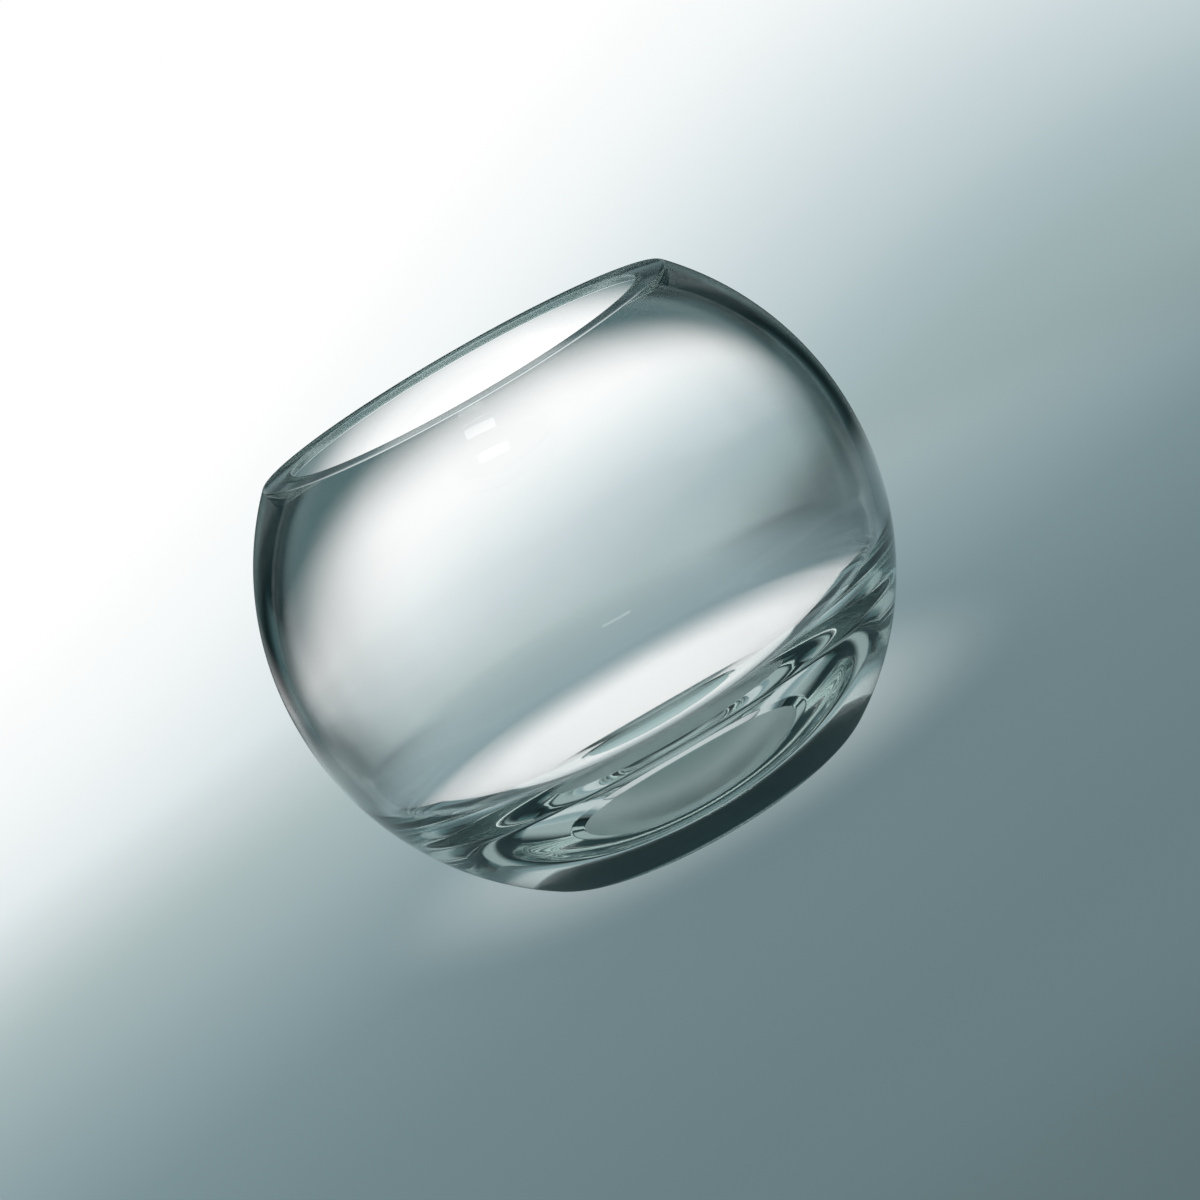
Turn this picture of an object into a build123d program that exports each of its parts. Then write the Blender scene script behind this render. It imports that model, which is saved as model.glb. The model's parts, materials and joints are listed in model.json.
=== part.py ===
from build123d import *

import os
from math import sqrt

# Rose bowl vase: a clear glass bowl, blown almost round and cut off flat at the rim, on a heavy solid base.
# The bowl and the base meet face to face on a flat weld plane.
# Millimetres; the vase's axis is Z and it stands on the plane z = 0.

# Outer wall: two arcs of the belly's radius, joined at the widest place by a short straight belt
belly_radius = 100.0
belt_height = 1.8
heel_radius = 57.2
heel_height = 3.0
rim_radius = 71.4

# Wall thickness at the belly and across the cut rim, and the polish that rounds the rim's two edges
belly_wall = 4.4
rim_wall = 10.4
rim_round = 0.8

# Cavity floor: a shallow dish, a flatter skirt that goes on at its slope, and a wide round up to the wall
floor_height = 24.6
floor_radius = 172.0
floor_slope = 10.8
skirt_radius = 262.0
corner_round = 28.0

# Base: the weld plane, the soft heel, the flat resting ring and the recess, a bevel round a ground dome
weld_height = 13.0
heel_width = 12.2
ring_width = 12.0
recess_depth = 2.6
bevel_width = 3.6
bevel_height = 1.0

# Heights where the lower arc ends, the upper arc starts and the rim is cut
lower_arc_height = heel_height + sqrt(belly_radius**2 - heel_radius**2)
upper_arc_height = lower_arc_height + belt_height
overall_height = upper_arc_height + sqrt(belly_radius**2 - rim_radius**2)

# Radii that follow from the wall and from the widths across the underside
cavity_radius = belly_radius - belly_wall
mouth_radius = rim_radius - rim_wall
weld_radius = sqrt(belly_radius**2 - (lower_arc_height - weld_height) ** 2)
ring_radius = heel_radius - heel_width
recess_radius = ring_radius - ring_width
dome_radius = recess_radius - bevel_width

# The cavity's lowest point if its round wall went on down, and the slope at which the skirt is past that wall
wall_bottom = lower_arc_height - cavity_radius
skirt_end_slope = 60.0

os.makedirs("parts", exist_ok=True)

# Bowl: turned from the outer profile above the weld plane, then hollowed by the cavity's profile
with BuildPart() as bowl:
    with BuildSketch(Plane.XZ):
        with BuildLine():
            Polyline((0, overall_height), (0, weld_height), (weld_radius, weld_height))
            TangentArc((belly_radius, lower_arc_height), (weld_radius, weld_height), tangent=(0, -1))
            Line((belly_radius, lower_arc_height), (belly_radius, upper_arc_height))
            TangentArc((belly_radius, upper_arc_height), (rim_radius, overall_height), tangent=(0, 1))
            Line((rim_radius, overall_height), (0, overall_height))
        make_face()
    revolve(axis=Axis.Z)
    # The cavity is the round inside less what lies under the floor, and their corner is then rounded
    with BuildSketch(Plane.XZ) as cavity:
        with BuildLine():
            TangentArc((cavity_radius, lower_arc_height), (0, wall_bottom), tangent=(0, -1))
            Line((cavity_radius, lower_arc_height), (cavity_radius, upper_arc_height))
            TangentArc((cavity_radius, upper_arc_height), (mouth_radius, overall_height), tangent=(0, 1))
            Polyline((mouth_radius, overall_height), (0, overall_height), (0, wall_bottom))
        make_face()
        with BuildLine():
            dish = JernArc((0, floor_height), (1, 0), floor_radius, floor_slope)
            skirt = JernArc(dish @ 1, dish % 1, skirt_radius, skirt_end_slope - floor_slope)
            below_skirt = ((skirt @ 1).X, wall_bottom - belly_wall)
            Polyline(skirt @ 1, below_skirt, (0, wall_bottom - belly_wall), (0, floor_height))
        make_face(mode=Mode.SUBTRACT)
        corner = cavity.vertices().sort_by(Axis.Y)[2]
        fillet(corner, corner_round)
    revolve(axis=Axis.Z, mode=Mode.SUBTRACT)
    rim_edges = bowl.edges().filter_by(GeomType.CIRCLE).group_by(Axis.Z)[-1]
    fillet(rim_edges, rim_round)
bowl.part.label = "bowl"
export_step(bowl.part, "parts/bowl.step")

# Base: a solid pad with a bevelled and domed recess, a flat resting ring and a softly rounded heel
with BuildPart() as base:
    with BuildSketch(Plane.XZ):
        with BuildLine():
            TangentArc((0, recess_depth), (dome_radius, bevel_height), tangent=(1, 0))
            Polyline((dome_radius, bevel_height), (recess_radius, 0), (ring_radius, 0))
            TangentArc((ring_radius, 0), (heel_radius, heel_height), tangent=(1, 0))
            RadiusArc((weld_radius, weld_height), (heel_radius, heel_height), belly_radius)
            Polyline((weld_radius, weld_height), (0, weld_height), (0, recess_depth))
        make_face()
    revolve(axis=Axis.Z)
base.part.label = "base"
export_step(base.part, "parts/base.step")

for piece in (bowl, base):
    print(piece.part.label, "volume", round(piece.part.volume / 1000, 1), "ml")
print("overall height", round(overall_height, 2), "mm, mouth", round(2 * mouth_radius, 1), "mm across")
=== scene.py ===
# %% [markdown]
# # A clear glass rose bowl
# The real vase is one body of clear glass: a bowl that was blown almost round, cut off flat at the rim and
# left on a heavy solid base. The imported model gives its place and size, and this lesson dresses it:
# one turned glass body, its material, and the floor, light and camera that make glass readable.
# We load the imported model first, so that every size below can be set against it.

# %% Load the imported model
import json
import math

import bmesh
import bpy
from mathutils import Matrix, Vector

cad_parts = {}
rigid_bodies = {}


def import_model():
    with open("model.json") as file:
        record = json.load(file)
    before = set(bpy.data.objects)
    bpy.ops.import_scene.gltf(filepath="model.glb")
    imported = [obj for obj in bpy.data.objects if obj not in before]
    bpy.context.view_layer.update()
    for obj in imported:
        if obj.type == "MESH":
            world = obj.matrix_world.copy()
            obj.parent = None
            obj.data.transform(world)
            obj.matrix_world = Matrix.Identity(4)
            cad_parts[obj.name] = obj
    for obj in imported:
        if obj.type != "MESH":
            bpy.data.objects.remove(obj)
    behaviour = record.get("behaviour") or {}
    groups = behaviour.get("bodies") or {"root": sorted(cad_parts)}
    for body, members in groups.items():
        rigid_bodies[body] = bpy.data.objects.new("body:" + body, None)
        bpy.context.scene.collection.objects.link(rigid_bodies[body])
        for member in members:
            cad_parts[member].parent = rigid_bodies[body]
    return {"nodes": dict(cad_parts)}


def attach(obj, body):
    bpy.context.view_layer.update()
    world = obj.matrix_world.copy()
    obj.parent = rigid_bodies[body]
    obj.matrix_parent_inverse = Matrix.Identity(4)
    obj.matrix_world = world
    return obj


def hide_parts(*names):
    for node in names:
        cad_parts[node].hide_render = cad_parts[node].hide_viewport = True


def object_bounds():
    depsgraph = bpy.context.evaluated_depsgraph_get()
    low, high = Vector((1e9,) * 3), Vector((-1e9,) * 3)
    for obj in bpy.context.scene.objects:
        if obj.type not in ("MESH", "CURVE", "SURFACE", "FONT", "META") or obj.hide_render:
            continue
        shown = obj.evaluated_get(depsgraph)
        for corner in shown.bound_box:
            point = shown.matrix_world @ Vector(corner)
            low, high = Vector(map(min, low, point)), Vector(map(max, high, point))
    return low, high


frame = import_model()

MM = 0.001
cad_low, cad_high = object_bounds()
print("packed nodes:", sorted(frame["nodes"]))
print("packed box in mm:", [round(v / MM, 1) for v in (*cad_low, *cad_high)])

# %% [markdown]
# ## The outer wall
# Cut the vase down the middle, and one half of the cut is its outline. It could be drawn by eye as a Bezier
# curve, but glass shows every change of curvature as a bend in what is seen through it. So each stretch is
# a true arc, given by a centre, a radius and two angles, with points close enough for smooth shading.
# The outer wall is two arcs of the belly's radius, with a short straight belt between them. The belly is
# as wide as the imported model's narrowest side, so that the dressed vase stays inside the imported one.
# Sizes of the outline are in millimetres.

# %% Arcs of the outer wall
def arc(centre, radius, start, end, spacing, least_steps=6):
    """Points along an arc from one angle to another, in degrees, about a spacing apart in millimetres."""
    length = abs(math.radians(end - start)) * radius
    steps = max(least_steps, round(length / spacing))
    angles = [math.radians(start + (end - start) * i / steps) for i in range(steps + 1)]
    return [(centre[0] + radius * math.cos(a), centre[1] + radius * math.sin(a)) for a in angles]


def angle_to(centre, point):
    """The angle, in degrees, at which a point is seen from a centre."""
    return math.degrees(math.atan2(point[1] - centre[1], point[0] - centre[0]))


belly_radius = min(-cad_low.x, -cad_low.y, cad_high.x, cad_high.y) / MM
overall_height = cad_high.z / MM
belt_height = 1.8
heel_radius = 57.2
heel_height = 3.0
rim_radius = 71.4
wall_spacing = 2.2

lower = (0, heel_height + math.sqrt(belly_radius**2 - heel_radius**2))
upper = (0, lower[1] + belt_height)
outside = arc(lower, belly_radius, angle_to(lower, (heel_radius, heel_height)), 0, wall_spacing)
outside += arc(upper, belly_radius, 0, angle_to(upper, (rim_radius, overall_height)), wall_spacing)
print("outer wall:", round(2 * belly_radius, 1), "mm across,", round(overall_height, 1), "mm tall")

# %% [markdown]
# ## The underside
# The vase stands on a flat ring, and a low heel leads from the ring to the wall. Inside the ring the glass
# was ground away: a narrow bevel goes up to a very shallow dome, so that the mark of the making never touches
# the table. A ruler gives the rise and the width of the dome and of the heel, and the radius of an arc
# follows from these two.

# %% Dome, bevel, resting ring and heel
heel_width = 12.2
ring_width = 12.0
recess_depth = 2.6
bevel_width = 3.6
bevel_height = 1.0
fine_spacing = 0.8

ring_radius = heel_radius - heel_width
recess_radius = ring_radius - ring_width
dome_radius = recess_radius - bevel_width
dome_rise = recess_depth - bevel_height
dome_bend = (dome_radius**2 + dome_rise**2) / (2 * dome_rise)
dome_centre = (0, recess_depth - dome_bend)
dome = arc(dome_centre, dome_bend, 90, angle_to(dome_centre, (dome_radius, bevel_height)), fine_spacing)
bevel = [(dome_radius, bevel_height), (recess_radius, 0)]
ring = [(recess_radius, 0), (ring_radius, 0)]

heel_bend = (heel_width**2 + heel_height**2) / (2 * heel_height)
heel_centre = (ring_radius, heel_bend)
heel = arc(heel_centre, heel_bend, -90, angle_to(heel_centre, (heel_radius, heel_height)), fine_spacing)
print("resting ring:", round(2 * recess_radius, 1), "to", round(2 * ring_radius, 1), "mm across")

# %% [markdown]
# ## The rim and the inner wall
# The inner wall is not a copy of the outer one: the glass is thin at the belly and grows thicker towards the
# rim and the base. Offsetting the outline would lose that. The upper inner wall is therefore an arc of its
# own, which leaves the belly upright and ends at the mouth.

# %% Cut rim and upper inner wall
rim_wall = 10.4
belly_wall = 4.4

cavity_radius = belly_radius - belly_wall
mouth_radius = rim_radius - rim_wall
mouth_step = cavity_radius - mouth_radius
mouth_rise = overall_height - upper[1]
inner_bend = (mouth_step**2 + mouth_rise**2) / (2 * mouth_step)
inner_centre = (cavity_radius - inner_bend, upper[1])
rim_face = [(rim_radius, overall_height), (mouth_radius, overall_height)]
inside = arc(inner_centre, inner_bend, angle_to(inner_centre, rim_face[1]), 0, wall_spacing)
print("mouth", round(2 * mouth_radius, 1), "mm across, wall", belly_wall, "to", rim_wall, "mm")

# %% [markdown]
# ## The cavity's floor
# The floor is a shallow dish with a flatter skirt round it, and a generous round joins the skirt to the
# wall. A modifier could round that corner, but only nearly. Circles do it exactly: the round's centre lies
# where circles drawn inside the wall and inside the skirt, one round's radius in, cross each other.

# %% Dish, skirt and round corner
floor_height = 24.6
floor_radius = 172.0
floor_slope = 10.8
skirt_radius = 262.0
corner_round = 28.0

slope = math.radians(floor_slope)
floor_centre = Vector((0, floor_height + floor_radius))
skirt_centre = floor_centre + Vector((-math.sin(slope), math.cos(slope))) * (skirt_radius - floor_radius)
wall_reach = cavity_radius - corner_round
skirt_reach = skirt_radius - corner_round
lead = skirt_centre - Vector(lower)
along = (wall_reach**2 - skirt_reach**2 + lead.length_squared) / (2 * lead.length)
across = math.sqrt(wall_reach**2 - along**2)
towards = lead.normalized()
corner_centre = Vector(lower) + towards * along + Vector((towards.y, -towards.x)) * across

wall_end = angle_to(lower, corner_centre)
skirt_end = angle_to(skirt_centre, corner_centre)
inside += arc(lower, cavity_radius, 0, wall_end, wall_spacing)
inside += arc(corner_centre, corner_round, wall_end, skirt_end, fine_spacing)
inside += arc(skirt_centre, skirt_radius, skirt_end, floor_slope - 90, wall_spacing)
inside += arc(floor_centre, floor_radius, floor_slope - 90, -90, wall_spacing)
skirt_width = corner_centre.x + corner_round * math.cos(math.radians(skirt_end))
print("the skirt ends", round(skirt_width, 1), "mm out, the dish lies", floor_height, "mm up")

# %% [markdown]
# ## Rounding the edges
# Nothing on a finished vase is knife sharp. The edges of the cut rim were eased on a wheel, the heel was
# rounded by the fire and the bevel's edges by the stone. A Bevel modifier could round the finished body, but
# on a turned piece it is enough to round corners of the outline. A small function replaces a corner by
# points on a curve that leaves and joins its neighbours smoothly, and the light catches there.

# %% Round the corners and join the outline
def walk(points, distance):
    """Drops points from the start of a run up to a distance along it, and returns what is left."""
    points = list(points)
    while len(points) > 2 and math.dist(points[0], points[1]) <= distance:
        distance -= math.dist(points[0], points[1])
        points.pop(0)
    share = min(1.0, distance / math.dist(points[0], points[1]))
    moved = tuple(a + (b - a) * share for a, b in zip(points[0], points[1]))
    return [moved] + points[1:]


def round_corner(before, after, size, steps=6):
    """Joins two runs that meet at a corner by a quadratic curve that starts and ends a size away from it."""
    corner = after[0]
    first = walk(before[::-1], size)[::-1]
    second = walk(after, size)
    ends = (first[-1], corner, second[0])
    curve = []
    for i in range(1, steps):
        t = i / steps
        weights = ((1 - t) ** 2, 2 * t * (1 - t), t**2)
        curve.append(tuple(sum(w * p[k] for w, p in zip(weights, ends)) for k in (0, 1)))
    return first + curve + second


bevel_round = 0.5
heel_round = 2.0
rim_round = 0.8
same_point = 1e-4

outline = round_corner(dome, bevel, bevel_round)
outline = round_corner(outline, ring, bevel_round)
outline = round_corner(outline + heel[1:], outside, heel_round)
outline = round_corner(outline, rim_face, rim_round)
outline = round_corner(outline, inside, rim_round)
outline = [p for p, q in zip(outline, outline[1:] + [(-1, -1)]) if math.dist(p, q) > same_point]
outline[0] = (0.0, recess_depth)
outline[-1] = (0.0, floor_height)
print("outline has", len(outline), "points")

# %% [markdown]
# ## Which stretches of the outline are ground
# The dome under the base was ground and scatters light. The cut face of the rim was smoothed to a satin,
# which keeps it an even dark grey, together with a painted shade. Two more materials could say so, but each
# would need a border of faces. Here a number on each point of the outline says how ground the glass is,
# from 0 to 1, and the material reads it later as an attribute: for roughness, and for a painted shade, a
# darker grey-green base colour, in full on the dome and at half on the rim.

# %% The outline as a mesh of edges, with its ground attribute
rim_satin = 0.5
dome_margin = 0.1
rim_margin = 0.01

profile_mesh = bpy.data.meshes.new("vase_outline")
profile_mesh.from_pydata(
    [(r * MM, 0, z * MM) for r, z in outline],
    [(i, i + 1) for i in range(len(outline) - 1)],
    [],
)
ground = profile_mesh.attributes.new("ground", "FLOAT", "POINT")
for mark, (r, z) in zip(ground.data, outline):
    on_dome = r < dome_radius and z < recess_depth + dome_margin
    on_rim = z > overall_height - rim_margin
    mark.value = 1.0 if on_dome else rim_satin if on_rim else 0.0
print("ground or satin points:", sum(1 for mark in ground.data if mark.value > 0))

# %% [markdown]
# ## Turning the outline in Geometry Nodes
# A turned body follows one rule: every point of the outline goes once round the axis. The Screw modifier
# or bmesh's spin would do it too. A node tree says the rule openly: a grid has one row for each point of the
# outline and one column for each step round, and every grid point looks up its outline point and is rotated
# by its column's share of a full turn. Merging by distance then closes the seam and the two poles.

# %% A helper that adds a node, and the tree's named inputs
def add_node(tree, kind, inputs=None, **settings):
    """Adds a node, sets its properties, and fills its inputs with values or with links.

    An input that is given as a node is linked to that node's first output in use.
    """
    node = tree.nodes.new(kind)
    for name, value in settings.items():
        setattr(node, name, value)
    for name, value in (inputs or {}).items():
        if isinstance(value, bpy.types.Node):
            value = next(socket for socket in value.outputs if socket.enabled)
        if isinstance(value, bpy.types.NodeSocket):
            tree.links.new(value, node.inputs[name])
        else:
            node.inputs[name].default_value = value
    return node


turning = bpy.data.node_groups.new("turned_body", "GeometryNodeTree")
tree_inputs = {"Geometry": "Geometry", "Steps round": "Int", "Merge distance": "Float", "Glass": "Material"}
for name, kind in tree_inputs.items():
    turning.interface.new_socket(name, in_out="INPUT", socket_type="NodeSocket" + kind)
turning.interface.new_socket("Geometry", in_out="OUTPUT", socket_type="NodeSocketGeometry")
sockets = {s.name: s.identifier for s in turning.interface.items_tree if s.in_out == "INPUT"}
print("inputs of the turning tree:", sockets)

# %% The row and the turn of each grid point
asked = add_node(turning, "NodeGroupInput")
outline_in, steps_in = asked.outputs["Geometry"], asked.outputs["Steps round"]
count = add_node(turning, "GeometryNodeAttributeDomainSize", {0: outline_in})
rows = count.outputs["Point Count"]
columns = add_node(turning, "ShaderNodeMath", {0: steps_in, 1: 1.0}, operation="ADD")
grid = add_node(turning, "GeometryNodeMeshGrid", {"Vertices X": columns, "Vertices Y": rows})
index = add_node(turning, "GeometryNodeInputIndex")
row = add_node(turning, "ShaderNodeMath", {0: index, 1: rows}, operation="MODULO")
column = add_node(turning, "ShaderNodeMath", {0: index, 1: rows}, operation="DIVIDE")
whole_column = add_node(turning, "ShaderNodeMath", {0: column}, operation="FLOOR")
share = add_node(turning, "ShaderNodeMath", {0: whole_column, 1: steps_in}, operation="DIVIDE")
angle = add_node(turning, "ShaderNodeMath", {0: share, 1: math.tau}, operation="MULTIPLY")
print("the grid is counted by", len(turning.nodes), "nodes")

# %% Turn the points, mark the ground ones, close the body and give it its glass
place = add_node(turning, "GeometryNodeInputPosition")
ground_mark = add_node(turning, "GeometryNodeInputNamedAttribute", {"Name": "ground"}, data_type="FLOAT")
outline_place, outline_mark = (
    add_node(
        turning,
        "GeometryNodeSampleIndex",
        {"Geometry": outline_in, "Value": value, "Index": row},
        data_type=data_type,
    )
    for value, data_type in ((place, "FLOAT_VECTOR"), (ground_mark, "FLOAT"))
)
turned = add_node(
    turning, "ShaderNodeVectorRotate", {"Vector": outline_place, "Angle": angle}, rotation_type="Z_AXIS"
)
placed = add_node(turning, "GeometryNodeSetPosition", {"Geometry": grid, "Position": turned})
marked = add_node(
    turning,
    "GeometryNodeStoreNamedAttribute",
    {"Geometry": placed, "Name": "ground", "Value": outline_mark},
    data_type="FLOAT",
    domain="POINT",
)
merge = {"Geometry": marked, "Distance": asked.outputs["Merge distance"]}
merged = add_node(turning, "GeometryNodeMergeByDistance", merge)
smooth = add_node(turning, "GeometryNodeSetShadeSmooth", {"Geometry": merged})
realized = add_node(turning, "GeometryNodeRealizeInstances", {"Geometry": smooth})
dress = {"Geometry": realized, "Material": asked.outputs["Glass"]}
dressed = add_node(turning, "GeometryNodeSetMaterial", dress)
add_node(turning, "NodeGroupOutput", {"Geometry": dressed})
print("the turning tree has", len(turning.nodes), "nodes")

# %% [markdown]
# ## Clear soda-lime glass
# Soda-lime glass bends light by an index of about 1.52, and a trace of iron gives its thick parts a cool
# grey-green tint. Colour painted on the surface would tint thin and thick glass alike, so the tint is
# a volume absorption, set per metre of glass. The fire left the walls smooth. Where the attribute says that
# the glass is ground, the roughness rises and less light comes through, and on the dome a grain of
# about half a millimetre stands for the grit. There a painted shade also darkens the base colour to a
# grey-green, in full on the dome and at half on the cut rim, for the dim light that the ground glass shows.

# %% Colours, and how rough the glass is
def colour(hex_code):
    """Linear RGBA of an sRGB hex colour."""
    parts = [int(hex_code[i:i + 2], 16) / 255 for i in (1, 3, 5)]
    linear = [c / 12.92 if c <= 0.04045 else ((c + 0.055) / 1.055) ** 2.4 for c in parts]
    return (*linear, 1.0)


polished_roughness = 0.0
ground_roughness = 0.36
polished_tone = colour("#ffffff")
# Painted shade: the ground glass is drawn in this darker grey-green
ground_shade_tone = colour("#6e9693")

# Blown and fire-polished glass: it gives the eye bent images, dark edges and a cool tint in its depth
glass = bpy.data.materials.new("clear_soda_lime_glass")
glass.use_nodes = True
tree = glass.node_tree
tree.nodes.clear()
attribute = add_node(tree, "ShaderNodeAttribute", attribute_name="ground", attribute_type="GEOMETRY")
how_ground = attribute.outputs["Fac"]
roughness = add_node(
    tree,
    "ShaderNodeMapRange",
    {"Value": how_ground, "To Min": polished_roughness, "To Max": ground_roughness},
)
# The base colour carries the painted shade where the glass is ground
skin_with_painted_shade = add_node(
    tree, "ShaderNodeMix", {"Factor": how_ground, "A": polished_tone, "B": ground_shade_tone}, data_type="RGBA"
)
print("roughness: rim", round(rim_satin * ground_roughness, 2), "and dome", ground_roughness)

# %% Grit on the dome, and the glass itself
# The grain is drawn coarser than the real grit, so that it shows
grain_size = 0.5 * MM
grain_depth = 0.05 * MM
grain_detail = 2.0
grain_roughness = 0.6
glass_index = 1.52
glass_tint = colour("#c9dedb")
tint_per_metre = 4.0

where = add_node(tree, "ShaderNodeTexCoord")
grit = add_node(
    tree,
    "ShaderNodeTexNoise",
    {
        "Vector": where.outputs["Object"],
        "Scale": 1 / grain_size,
        "Detail": grain_detail,
        "Roughness": grain_roughness,
    },
)
how_gritty = add_node(
    tree, "ShaderNodeMapRange", {"Value": how_ground, "From Min": rim_satin, "From Max": 1.0}
)
grain = add_node(
    tree, "ShaderNodeBump", {"Strength": how_gritty, "Distance": grain_depth, "Height": grit.outputs["Fac"]}
)
body = add_node(
    tree,
    "ShaderNodeBsdfPrincipled",
    {
        "Base Color": skin_with_painted_shade,
        "IOR": glass_index,
        "Transmission Weight": 1.0,
        "Roughness": roughness,
        "Normal": grain,
    },
)
depth_tint = add_node(tree, "ShaderNodeVolumeAbsorption", {"Color": glass_tint, "Density": tint_per_metre})
add_node(tree, "ShaderNodeOutputMaterial", {"Surface": body, "Volume": depth_tint})
print("glass material has", len(tree.nodes), "nodes")

# %% [markdown]
# ## Making the glass body
# The modifier's inputs are set by each socket's identifier before the object is first evaluated. The
# evaluated result is then copied into a plain mesh, because the export wants meshes and not node trees.
# Glass needs a closed skin whose faces all point outwards, or light would not know when it is inside. So
# the normals are worked out again, and the open edges and the volume are measured.

# %% Turn the outline
def put_in_scene(name, data):
    """Makes an object of a mesh, a lamp or a camera, and links it to the scene."""
    thing = bpy.data.objects.new(name, data)
    bpy.context.scene.collection.objects.link(thing)
    return thing


steps_round = 320
merge_distance = 1e-6
profile = put_in_scene("vase_outline", profile_mesh)
modifier = profile.modifiers.new("turning", "NODES")
modifier.node_group = turning
modifier[sockets["Steps round"]] = steps_round
modifier[sockets["Merge distance"]] = merge_distance
modifier[sockets["Glass"]] = glass
evaluated = profile.evaluated_get(bpy.context.evaluated_depsgraph_get())
vase_mesh = bpy.data.meshes.new_from_object(evaluated)
vase_mesh.materials.clear()
vase_mesh.materials.append(glass)
profile.modifiers.clear()
bpy.data.objects.remove(profile)
print("turned body:", len(vase_mesh.vertices), "points in", steps_round, "steps round")

# %% Close the skin and measure it
shell = bmesh.new()
shell.from_mesh(vase_mesh)
bmesh.ops.recalc_face_normals(shell, faces=shell.faces)
open_edges = sum(1 for e in shell.edges if not e.is_manifold)
volume_ml = shell.calc_volume(signed=True) / MM**3 / 1000
shell.to_mesh(vase_mesh)
shell.free()
vase = put_in_scene("glass_body", vase_mesh)
triangles = sum(len(p.vertices) - 2 for p in vase_mesh.polygons)
print("glass body:", triangles, "triangles,", open_edges, "open edges,", round(volume_ml, 1), "ml of glass")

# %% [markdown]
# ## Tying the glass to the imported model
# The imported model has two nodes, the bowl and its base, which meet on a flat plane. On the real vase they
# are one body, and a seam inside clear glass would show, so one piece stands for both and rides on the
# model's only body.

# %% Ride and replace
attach(vase, "root")
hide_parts("bowl", "base")
print("one piece,", vase.name, "in", [m.name for m in vase_mesh.materials])

# %% [markdown]
# ## The table
# The vase stands on a plain pale table. A large plane would end in a horizon line that cuts through the
# glass. A disc that fades out at its edge lets the table run into the background, as a photographer's paper
# does. It lies a hair below the vase, so that glass and table never share a surface. From here on, sizes are
# in metres, Blender's own unit.

# %% A round table top
floor_disc_radius = 0.6
floor_sides = 128
floor_drop = 0.1 * MM
floor_mesh = bpy.data.meshes.new("floor")
disc = bmesh.new()
bmesh.ops.create_circle(disc, cap_ends=True, segments=floor_sides, radius=floor_disc_radius)
disc.to_mesh(floor_mesh)
disc.free()
floor = put_in_scene("floor", floor_mesh)
floor.location.z = -floor_drop
print("floor disc", floor_disc_radius * 2, "m across")

# %% [markdown]
# ## Tones of the table
# The table is darker near the viewer and paler far away. That is painted light: the light comes from
# behind the vase and falls off towards the front. A colour ramp holds such a change, and its stops are
# written in metres along a direction that points away and a little to the left. Map Range turns the
# metres into the ramp's own share from 0 to 1, and a small function lays the stops.

# %% From near to far
def lay_stops(color_ramp, stops):
    """Gives a colour ramp its stops, each a measure and an sRGB hex colour, from the least measure up."""
    first, last = stops[0][0], stops[-1][0]
    while len(color_ramp.elements) < len(stops):
        color_ramp.elements.new(1.0)
    for element, (measure, tone) in zip(color_ramp.elements, stops):
        element.position = (measure - first) / (last - first)
        element.color = colour(tone)


away = (-0.5, 1.0, 0.0)
# Painted light: the table darkens towards the viewer, away from the light behind the vase
table_tones = [
    (-0.30, "#6c8186"), (-0.10, "#748a8f"), (0.03, "#7f959a"), (0.16, "#94a8ac"), (0.30, "#a8b9bb"),
    (0.40, "#b6c5c6"), (0.50, "#c8d3d4"),
]

# Matte paint on a table top: a pale, cool tone with no gloss of its own, with light and shade painted into it
paint = bpy.data.materials.new("matte_table")
paint.use_nodes = True
tree = paint.node_tree
tree.nodes.clear()
spot = add_node(tree, "ShaderNodeTexCoord").outputs["Object"]
depth = add_node(tree, "ShaderNodeVectorMath", {0: spot, 1: away}, operation="DOT_PRODUCT")
share = add_node(
    tree,
    "ShaderNodeMapRange",
    {"Value": depth, "From Min": table_tones[0][0], "From Max": table_tones[-1][0]},
)
table = add_node(tree, "ShaderNodeValToRGB", {"Fac": share})
lay_stops(table.color_ramp, table_tones)
print("table tones at", len(table.color_ramp.elements), "places")

# %% [markdown]
# ## Light and shade that the glass leaves on the table
# A bowl of glass gathers light like a lens: a bright pool lies under it and just behind it, with a pale
# halo round the pool, and beside the pool the table is in shade. A renderer can trace such gathered light,
# but only slowly and with noise, so it is painted. The shade is laid by the angle round the axis, as a fan,
# and by the distance from two lanes that cross under the vase. Both repeat every quarter turn, so that the
# vase reads much the same from its other sides.

# %% Distances and angles on the table
pool_place = (0.0, 0.036, 0.0)
fan_turn = math.radians(3.5)
fan_reach = math.radians(45)
lane_shift = 0.012

to_pool = add_node(tree, "ShaderNodeVectorMath", {0: spot, 1: pool_place}, operation="DISTANCE")
from_middle = add_node(tree, "ShaderNodeVectorMath", {0: spot}, operation="LENGTH")
axes = add_node(tree, "ShaderNodeSeparateXYZ", {0: spot})
to_right, to_back = axes.outputs["X"], axes.outputs["Y"]
round_axis = add_node(tree, "ShaderNodeMath", {0: to_right, 1: to_back}, operation="ARCTAN2")
from_turn = add_node(tree, "ShaderNodeMath", {0: round_axis, 1: fan_turn}, operation="ADD")
from_fan = add_node(tree, "ShaderNodeMath", {0: from_turn, 1: fan_reach, 2: -fan_reach}, operation="WRAP")
off_fan = add_node(tree, "ShaderNodeMath", {0: from_fan}, operation="ABSOLUTE")
from_lane = add_node(tree, "ShaderNodeMath", {0: to_right, 1: lane_shift}, operation="ADD")
off_lane_back = add_node(tree, "ShaderNodeMath", {0: from_lane}, operation="ABSOLUTE")
off_lane_across = add_node(tree, "ShaderNodeMath", {0: to_back}, operation="ABSOLUTE")
off_lane = add_node(tree, "ShaderNodeMath", {0: off_lane_back, 1: off_lane_across}, operation="MINIMUM")
print("the pool lies", round(pool_place[1] / MM), "mm behind the axis")

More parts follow.
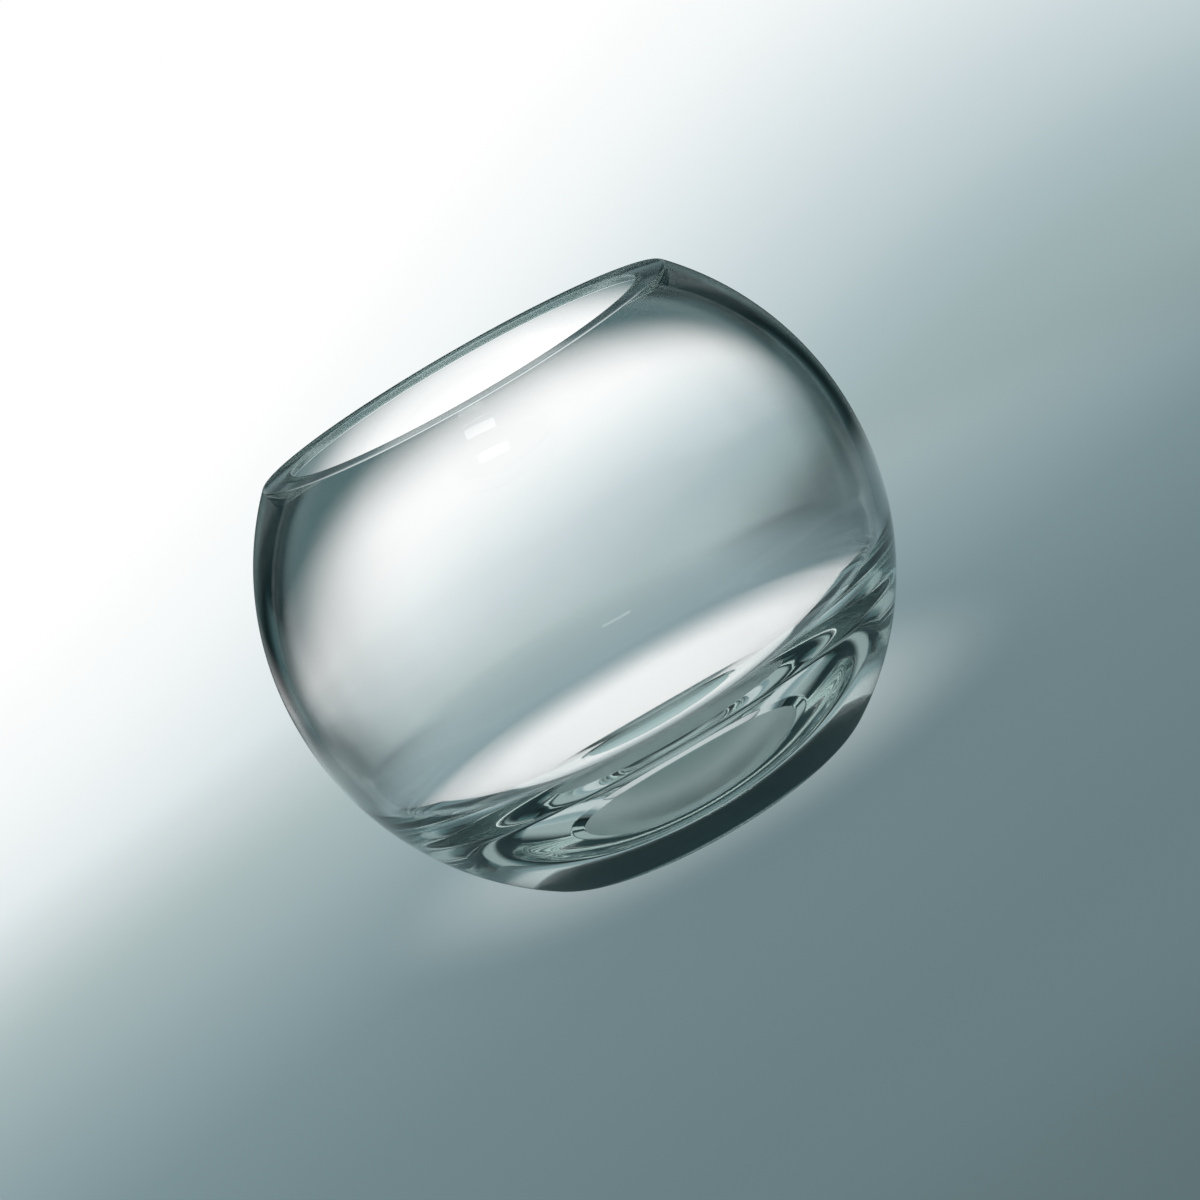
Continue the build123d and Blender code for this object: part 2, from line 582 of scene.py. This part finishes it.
# %% How strong each of them is
shade_share, halo_share, contact_shadow_share = 0.75, 0.75, 0.85
patches = {
    # name: (measure, start, end, strength at the start, strength at the end), in metres or radians
    "fan": (off_fan, math.radians(12), math.radians(25), 0.0, shade_share),
    "lane": (off_lane, 0.05, 0.125, 0.0, shade_share),
    # a painted contact shadow under the heel, seen in reflections
    "contact_shadow": (from_middle, 0.06, 0.16, contact_shadow_share, 0.0),
    "halo": (to_pool, 0.0, 0.125, halo_share, 0.0),
    "pool": (to_pool, 0.062, 0.092, 1.0, 0.0),
    "fade": (from_middle, 0.3, 0.56, 0.0, 1.0),
}
patch = {}
for name, (measure, start, end, at_start, at_end) in patches.items():
    patch[name] = add_node(
        tree,
        "ShaderNodeMapRange",
        {"Value": measure, "From Min": start, "From Max": end, "To Min": at_start, "To Max": at_end},
        interpolation_type="SMOOTHSTEP",
    )
shade = add_node(tree, "ShaderNodeMath", {0: patch["fan"], 1: patch["lane"]}, operation="MINIMUM")
print("patches on the table:", list(patch))

# %% [markdown]
# ## Who sees which light on the table
# Light Path says what kind of ray has met the table. Rays that come through the glass see the pool and the
# shade beside it, and the pool at half strength where they were mirrored on their way. The camera sees the
# halo. Reflections see a painted contact shadow under the heel, which draws the foot of the vase. Each of
# them is one more Mix over the table's tone.

# %% Paint the patches over the table
shade_tone = colour("#2a3a3b")
halo_tone = colour("#eef8f8")
pool_tone = colour("#ffffff")
mirrored_pool = 0.5
# Bounces are whole numbers, so a limit half a bounce below a count tells it from the counts under it
half_bounce = 0.5

ray = add_node(tree, "ShaderNodeLightPath")
through, to_camera = ray.outputs["Is Transmission Ray"], ray.outputs["Is Camera Ray"]
# The painted contact shadow is seen by every ray but the camera's
contact_shadow = add_node(tree, "ShaderNodeMix", {"Factor": to_camera, "A": patch["contact_shadow"], "B": 0.0})
shade_seen = add_node(tree, "ShaderNodeMix", {"Factor": through, "A": contact_shadow, "B": shade})
halo_seen = add_node(tree, "ShaderNodeMix", {"Factor": to_camera, "A": 0.0, "B": patch["halo"]})
mirrored = add_node(
    tree, "ShaderNodeMath", {0: ray.outputs["Glossy Depth"], 1: half_bounce}, operation="GREATER_THAN"
)
pool_left = add_node(tree, "ShaderNodeMix", {"Factor": mirrored, "A": 1.0, "B": mirrored_pool})
pool = add_node(tree, "ShaderNodeMath", {0: patch["pool"], 1: pool_left}, operation="MULTIPLY")
pool_seen = add_node(tree, "ShaderNodeMix", {"Factor": through, "A": 0.0, "B": pool})
painted = table
for strength, tone in ((shade_seen, shade_tone), (halo_seen, halo_tone), (pool_seen, pool_tone)):
    layer = {"Factor": strength, "A": painted, "B": tone}
    painted = add_node(tree, "ShaderNodeMix", layer, data_type="RGBA")
print("the table's tone takes", len(tree.nodes), "nodes")

# %% [markdown]
# ## A table that glows a little
# Most of the table's tone is given as light of its own, so that the glass always has a table to show, and
# the rest is matte and keeps the vase's shadow. What the glass takes from the light at its surfaces is
# given back by a small lift for rays that come through it. Towards its edge the disc turns transparent.

# %% Glow, matte part and soft edge
matte_share = 0.25
through_lift = 1.12

floor_lift = add_node(tree, "ShaderNodeMapRange", {"Value": through, "To Min": 1.0, "To Max": through_lift})
matte_part = add_node(tree, "ShaderNodeMapRange", {"Value": through, "To Min": matte_share, "To Max": 0.0})
glow = add_node(tree, "ShaderNodeEmission", {"Color": painted, "Strength": floor_lift})
matte = add_node(tree, "ShaderNodeBsdfDiffuse", {"Color": painted})
clear = add_node(tree, "ShaderNodeBsdfTransparent")
part_matte = add_node(tree, "ShaderNodeMixShader", {0: matte_part, 1: glow, 2: matte})
edge = add_node(tree, "ShaderNodeMixShader", {0: patch["fade"], 1: part_matte, 2: clear})
add_node(tree, "ShaderNodeOutputMaterial", {"Surface": edge})
floor_mesh.materials.append(paint)
print("table material has", len(tree.nodes), "nodes, matte share", matte_share)

# %% [markdown]
# ## Bright panels and dark walls, all round
# Clear glass has no colour of its own to light: it shows its surroundings, bent. Photographers stand a
# bright panel behind the glass and leave the studio beside and above it dark, and the dark draws the edges.
# Lamps and boards could be modelled, but the world does it here with no objects: a panel stands every
# 45 degrees, so that the vase reads the same from other sides too. Each is widest near the horizon, narrows
# upwards, leans a little, and sinks into the table's tone below.

# %% Directions in the world
panel_period = math.radians(45)
panel_shift = math.radians(2)

world = bpy.data.worlds.new("studio")
bpy.context.scene.world = world
world.use_nodes = True
tree = world.node_tree
tree.nodes.clear()
direction = add_node(tree, "ShaderNodeTexCoord")
axes = add_node(tree, "ShaderNodeSeparateXYZ", {0: direction.outputs["Generated"]})
azimuth = add_node(tree, "ShaderNodeMath", {0: axes.outputs["X"], 1: axes.outputs["Y"]}, operation="ARCTAN2")
elevation = add_node(tree, "ShaderNodeMath", {0: axes.outputs["Z"]}, operation="ARCSINE")
shifted = add_node(tree, "ShaderNodeMath", {0: azimuth, 1: panel_shift}, operation="SUBTRACT")
from_panel = add_node(
    tree, "ShaderNodeMath", {0: shifted, 1: panel_period / 2, 2: -panel_period / 2}, operation="WRAP"
)
off_panel = add_node(tree, "ShaderNodeMath", {0: from_panel}, operation="ABSOLUTE")
off_back = add_node(tree, "ShaderNodeMath", {0: azimuth}, operation="ABSOLUTE")
print("world panels every", round(math.degrees(panel_period)), "degrees")

# %% The lean and the taper of a panel
panel_lean = math.radians(2.7)
top_lean = math.radians(0.2)
panel_taper = 0.25

turns = add_node(tree, "ShaderNodeMath", {0: azimuth, 1: math.tau / panel_period}, operation="MULTIPLY")
swing = add_node(tree, "ShaderNodeMath", {0: turns}, operation="SINE")
leaning = add_node(
    tree, "ShaderNodeMath", {0: swing, 1: -panel_lean, 2: elevation}, operation="MULTIPLY_ADD"
)
tapering = add_node(
    tree, "ShaderNodeMath", {0: off_panel, 1: panel_taper, 2: elevation}, operation="MULTIPLY_ADD"
)
narrowing = add_node(
    tree, "ShaderNodeMath", {0: swing, 1: -top_lean, 2: tapering}, operation="MULTIPLY_ADD"
)
print("panels lean by up to", round(math.degrees(panel_lean), 1), "degrees")

# %% [markdown]
# ## Tones of the room
# Every part of the room is a ramp over an angle. The panel goes from the table's tone up to white. A soft
# fill stands beside the panel straight behind the vase, and is written as two grey ramps, one across and
# one upwards. The walls darken away from a panel, and the ceiling is dark just above the panels and pale
# overhead. Light that was mirrored in the glass sees a darker ceiling, and light that was guided up the
# wall of the vase has a ramp of its own.

# %% One ramp for each part of the room
room_tones = {
    # name: (angle, stops in degrees)
    "panel": (leaning, [
        (-40, "#55696b"), (-24, "#5f7476"), (-20, "#6a8082"), (-16, "#7d9395"), (-12, "#9eb2b4"),
        (-11, "#abbdc1"), (-10, "#becdd0"), (-9, "#cdd9dc"), (-8, "#dce6e8"), (-7, "#ebf1f2"),
        (-6, "#f5f9f9"), (-4.5, "#ffffff"),
    ]),
    "fill_across": (azimuth, [
        (-39, "#000000"), (-34, "#8f8f8f"), (-25, "#8c8c8c"), (-20, "#bababa"), (-16, "#d0d0d0"),
        (-12, "#e7e7e7"), (-8, "#d6d6d6"), (-3, "#000000"),
    ]),
    "fill_up": (elevation, [
        (-20, "#808080"), (-13, "#a8a8a8"), (-10, "#f8f8f8"), (-8, "#ffffff"), (-4, "#a4a4a4"),
        (0, "#000000"),
    ]),
    "wall": (off_panel, [
        (0, "#4a6466"), (12, "#4a6466"), (15, "#33484a"), (18, "#1a2a2c"), (20, "#0e1a1b"),
        (22.5, "#0b1516"),
    ]),
    "low_wall": (off_panel, [(0, "#3e5557"), (10, "#3e5557"), (15, "#2a3c3e"), (22.5, "#152224")]),
    "ceiling": (elevation, [(9, "#182729"), (20, "#213336"), (30, "#b4bfbf"), (45, "#d5dbdb")]),
    "dark_ceiling": (elevation, [(9, "#152426"), (19, "#1c2d30"), (40, "#2c3f41")]),
    "guided": (elevation, [(-15, "#1c2e2f"), (12, "#2e4445"), (20, "#8fa19e"), (30, "#eef3f1")]),
    "back": (elevation, [(2, "#1a2529"), (8, "#3f4e51"), (14, "#3f4e51"), (24, "#222d31")]),
}
tones = {}
for name, (angle, stops) in room_tones.items():
    low, high = math.radians(stops[0][0]), math.radians(stops[-1][0])
    share = add_node(tree, "ShaderNodeMapRange", {"Value": angle, "From Min": low, "From Max": high})
    tones[name] = add_node(tree, "ShaderNodeValToRGB", {"Fac": share})
    lay_stops(tones[name].color_ramp, [(math.radians(degrees), tone) for degrees, tone in stops])
print("ramps in the world:", list(tones))

# %% [markdown]
# ## Soft borders
# A hard border in the room would be a hard line in the glass. So each part of the room is bounded by a
# number that is 1 up to one angle and eases to 0 at another. Smoothstep has no kink at its ends, which a
# straight ramp would show as a faint line.

# %% How far each part of the room reaches
reaches = {
    # name: (angle, last degree at full strength, degree where nothing is left)
    "below_top": (narrowing, -3, 5),
    "in_panel": (off_panel, 5, 13),
    "near_table": (elevation, -10, -3),
    "under_ceiling": (elevation, 6, 10),
    "near_back": (off_back, 8, 15),
    "to_panel": (off_panel, 4, 12),
    "not_steep": (elevation, 20, 30),
}
reach = {}
for name, (angle, full, none) in reaches.items():
    reach[name] = add_node(
        tree,
        "ShaderNodeMapRange",
        {
            "Value": angle,
            "From Min": math.radians(full),
            "From Max": math.radians(none),
            "To Min": 1.0,
            "To Max": 0.0,
        },
        interpolation_type="SMOOTHSTEP",
    )
print("soft borders:", list(reach))

# %% Two rooms, one lit by the panels and one with the fill alone
lit = add_node(tree, "ShaderNodeMath", {0: reach["below_top"], 1: reach["in_panel"]}, operation="MULTIPLY")
fill = add_node(tree, "ShaderNodeMath", {0: tones["fill_across"], 1: tones["fill_up"]}, operation="MULTIPLY")
unlit = add_node(tree, "ShaderNodeMath", {0: 1.0, 1: lit}, operation="SUBTRACT")
bright = add_node(tree, "ShaderNodeMath", {0: unlit, 1: fill, 2: lit}, operation="MULTIPLY_ADD")
wall = add_node(
    tree,
    "ShaderNodeMix",
    {"Factor": reach["near_table"], "A": tones["wall"], "B": tones["low_wall"]},
    data_type="RGBA",
)
rooms = {}
for name, strength, ceiling in (("lit", bright, tones["ceiling"]), ("dark", fill, tones["dark_ceiling"])):
    walls = {"Factor": strength, "A": wall, "B": tones["panel"]}
    below = add_node(tree, "ShaderNodeMix", walls, data_type="RGBA")
    whole = {"Factor": reach["under_ceiling"], "A": ceiling, "B": below}
    rooms[name] = add_node(tree, "ShaderNodeMix", whole, data_type="RGBA")
print("rooms:", list(rooms))

# %% [markdown]
# ## What each kind of ray sees
# Light that comes straight through the glass sees the lit room. Light that was mirrored inside the glass
# would show the panels again as a row of pale stripes, so it sees the dark one. Light Path counts how often
# a ray was mirrored. A ray that also crossed the bowl again is a stray. A ray mirrored twice that still
# heads for a panel draws the grey bands of the base. A ray mirrored many times was guided up the wall and
# leaves at the rim: it is bright where it leaves steeply. Past that, the path has no end and stays dark.

# %% Count the bounces
ray = add_node(tree, "ShaderNodeLightPath")
least_bounces = {
    # name: (what is counted, the least count)
    "mirrored": ("Glossy Depth", 1),
    "twice": ("Glossy Depth", 2),
    "often": ("Glossy Depth", 7),
    "endless": ("Glossy Depth", 30),
    "crossed": ("Transmission Depth", 3),
}
was = {}
for name, (counted, least) in least_bounces.items():
    limit = {0: ray.outputs[counted], 1: least - half_bounce}
    was[name] = add_node(tree, "ShaderNodeMath", limit, operation="GREATER_THAN")
stray = add_node(tree, "ShaderNodeMath", {0: was["mirrored"], 1: was["crossed"]}, operation="MULTIPLY")
ahead = add_node(tree, "ShaderNodeMath", {0: reach["to_panel"], 1: reach["not_steep"]}, operation="MULTIPLY")
twice_ahead = add_node(tree, "ShaderNodeMath", {0: was["twice"], 1: ahead}, operation="MULTIPLY")
print("bounces that are told apart:", {name: least for name, (_, least) in least_bounces.items()})

# %% Give each kind of ray its tone
stray_tone = colour("#1c2a2b")
band_tone = colour("#a3b2b2")
endless_tone = colour("#142223")

seen = rooms["lit"]
for kind, tone in (
    (was["mirrored"], rooms["dark"]),
    (stray, stray_tone),
    (twice_ahead, band_tone),
    (was["often"], tones["guided"]),
    (was["endless"], endless_tone),
):
    seen = add_node(tree, "ShaderNodeMix", {"Factor": kind, "A": seen, "B": tone}, data_type="RGBA")
print("kinds of ray through the glass are sorted by", len(tree.nodes), "nodes")

# %% [markdown]
# ## Reflections, the table's light and the backdrop
# What the outside of the glass mirrors would also show all panels at once, so reflections see a dim room
# with one paler place straight behind the vase. The matte part of the table is lit evenly. The camera itself
# sees the panel's tones without the dark walls, as a plain backdrop. Rays through the glass get the same
# small lift as on the table.

# %% The finished world
dim_tone = colour("#141e1f")
even_tone = colour("#e8eeee")

dim = {"Factor": reach["near_back"], "A": dim_tone, "B": tones["back"]}
room = add_node(tree, "ShaderNodeMix", dim, data_type="RGBA")
through = ray.outputs["Is Transmission Ray"]
seen = add_node(tree, "ShaderNodeMix", {"Factor": through, "A": room, "B": seen}, data_type="RGBA")
for kind, tone in (("Is Diffuse Ray", even_tone), ("Is Camera Ray", tones["panel"])):
    layer = {"Factor": ray.outputs[kind], "A": seen, "B": tone}
    seen = add_node(tree, "ShaderNodeMix", layer, data_type="RGBA")
lift = add_node(tree, "ShaderNodeMapRange", {"Value": through, "To Min": 1.0, "To Max": through_lift})
sky = add_node(tree, "ShaderNodeBackground", {"Color": seen, "Strength": lift})
add_node(tree, "ShaderNodeOutputWorld", {"Surface": sky})
print("world has", len(tree.nodes), "nodes")

# %% [markdown]
# ## One small lamp
# A small softbox hangs high over the front of the vase. Its light is weak; what counts is its image, the
# small bright mark that a lamp leaves on glass. A point lamp would leave a dot, so it is a rectangle. It is
# placed by two angles, up and to the side, and aimed at the middle of the belly.

# %% The softbox overhead
lamp_distance = 1.2
lamp_up = math.radians(68)
lamp_side = math.radians(-9)
lamp_width, lamp_depth = 0.2, 0.08
lamp_energy = 0.14

middle = Vector((0, 0, (lower[1] + upper[1]) / 2 * MM))
softbox = bpy.data.lights.new("soft_lamp", "AREA")
softbox.shape = "RECTANGLE"
softbox.size = lamp_width
softbox.size_y = lamp_depth
softbox.energy = lamp_energy
lamp = put_in_scene("soft_lamp", softbox)
level = math.cos(lamp_up)
aim = Vector((level * math.sin(lamp_side), -level * math.cos(lamp_side), math.sin(lamp_up)))
lamp.location = middle + aim * lamp_distance
lamp.rotation_mode = "QUATERNION"
lamp.rotation_quaternion = (-aim).to_track_quat("-Z", "Y")
print("lamp at", [round(v, 2) for v in lamp.location])

# %% [markdown]
# ## The camera
# The picture was taken from a little above the rim's height, through a long lens, and hangs at a slant: the
# vase leans 30 degrees to the left. So the camera looks at the middle of the belly from ten degrees up, is
# turned a little so that the vase sits as far off the centre as in the picture, and is then rolled.

# %% Camera
picture_size = 1200
focal_pixels = 3710
belly_pixel = (593.6, 561.2)
camera_distance = 1.162
camera_height = math.radians(10.21)
picture_slant = math.radians(30)

camera_data = bpy.data.cameras.new("camera")
camera_data.sensor_width = 36.0
camera_data.lens = camera_data.sensor_width * focal_pixels / picture_size
camera = put_in_scene("camera", camera_data)
back = Vector((0, -math.cos(camera_height), math.sin(camera_height)))
camera.location = middle + back * camera_distance
turn = math.atan2(belly_pixel[0] - picture_size / 2, focal_pixels)
tip = math.atan2(picture_size / 2 - belly_pixel[1], focal_pixels)
camera.rotation_mode = "QUATERNION"
camera.rotation_quaternion = (
    (-back).to_track_quat("-Z", "Y")
    @ Matrix.Rotation(turn, 3, "Y").to_quaternion()
    @ Matrix.Rotation(-tip, 3, "X").to_quaternion()
    @ Matrix.Rotation(-picture_slant, 3, "Z").to_quaternion()
)
bpy.context.scene.camera = camera
print("camera at", [round(v, 3) for v in camera.location], "lens", round(camera_data.lens, 1), "mm")

# %% [markdown]
# ## Last settings
# Light crosses the glass many times in the base, so the paths are allowed more bounces than usual.

# %% Bounces and the end
most_bounces = 64
scene = bpy.context.scene
scene.view_settings.view_transform = "Standard"
scene.cycles.max_bounces = most_bounces
scene.cycles.transmission_bounces = most_bounces
scene.cycles.glossy_bounces = most_bounces
